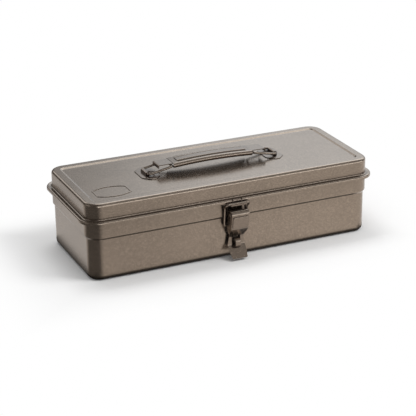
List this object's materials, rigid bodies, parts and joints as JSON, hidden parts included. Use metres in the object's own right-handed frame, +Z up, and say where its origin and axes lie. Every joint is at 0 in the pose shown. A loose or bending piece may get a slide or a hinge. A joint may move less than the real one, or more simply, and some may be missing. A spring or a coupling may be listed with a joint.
{
  "type": "steel trunk toolbox",
  "caption": "Long flat steel toolbox with a hinged lid, a folding carrying handle on a sunk lid panel, and a draw latch with a padlock staple at the front.",
  "frame": {"origin": "centre of the underside, on the surface the box stands on", "axes": "+X along the long side to the right as seen from the latch, +Y to the rear hinges, +Z up"},
  "size_m": [0.329, 0.1498, 0.0949],
  "materials": {
    "box_paint": "satin metallic grey-brown paint",
    "fitting_paint": "satin metallic grey-brown paint",
    "wire_paint": "satin metallic grey-brown paint"
  },
  "bodies": {
    "body": {"body_shell": "box_paint", "latch_base": "fitting_paint", "latch_pin": "wire_paint", "padlock_staple": "fitting_paint", "hinge_body_leaf_left": "fitting_paint", "hinge_body_leaf_right": "fitting_paint", "hinge_pin_left": "wire_paint", "hinge_pin_right": "wire_paint"},
    "lid": {"lid_shell": "box_paint", "lid_catch": "fitting_paint", "handle_bracket_left": "fitting_paint", "handle_bracket_right": "fitting_paint", "hinge_lid_leaf_left": "fitting_paint", "hinge_lid_leaf_right": "fitting_paint"},
    "handle_grip": {"handle_grip": "fitting_paint"},
    "ring_left": {"handle_ring_left": "wire_paint"},
    "ring_right": {"handle_ring_right": "wire_paint"},
    "latch_lever": {"latch_lever": "fitting_paint"},
    "latch_bail": {"latch_bail": "wire_paint"}
  },
  "joints": [
    {"name": "lid_hinge", "type": "hinge", "parent": "body", "child": "lid", "pos_m": [0, 0.07026, 0.0615], "axis": [-1, 0, 0], "range_deg": [0, 105]},
    {"name": "handle_lift", "type": "slide", "parent": "lid", "child": "handle_grip", "axis": [0, 0, 1], "range_m": [0, 0.017]},
    {"name": "ring_left_swing", "type": "hinge", "parent": "lid", "child": "ring_left", "pos_m": [-0.0735, 0, 0.0843], "axis": [0, -1, 0], "range_deg": [0, 39.6]},
    {"name": "ring_right_swing", "type": "hinge", "parent": "lid", "child": "ring_right", "pos_m": [0.0735, 0, 0.0843], "axis": [0, 1, 0], "range_deg": [0, 39.6]},
    {"name": "latch_swing", "type": "hinge", "parent": "body", "child": "latch_lever", "pos_m": [0, -0.0718, 0.051], "axis": [-1, 0, 0], "range_deg": [0, 105]},
    {"name": "bail_swing", "type": "hinge", "parent": "latch_lever", "child": "latch_bail", "pos_m": [0, -0.0638, 0.0373], "axis": [-1, 0, 0], "range_deg": [-137, 0]}
  ],
  "couplings": [
    {"joint": "ring_left_swing", "follows": "handle_lift", "rad_per_m": 40.55},
    {"joint": "ring_right_swing", "follows": "handle_lift", "rad_per_m": 40.55},
    {"joint": "bail_swing", "follows": "latch_swing", "ratio": -1.3}
  ]
}
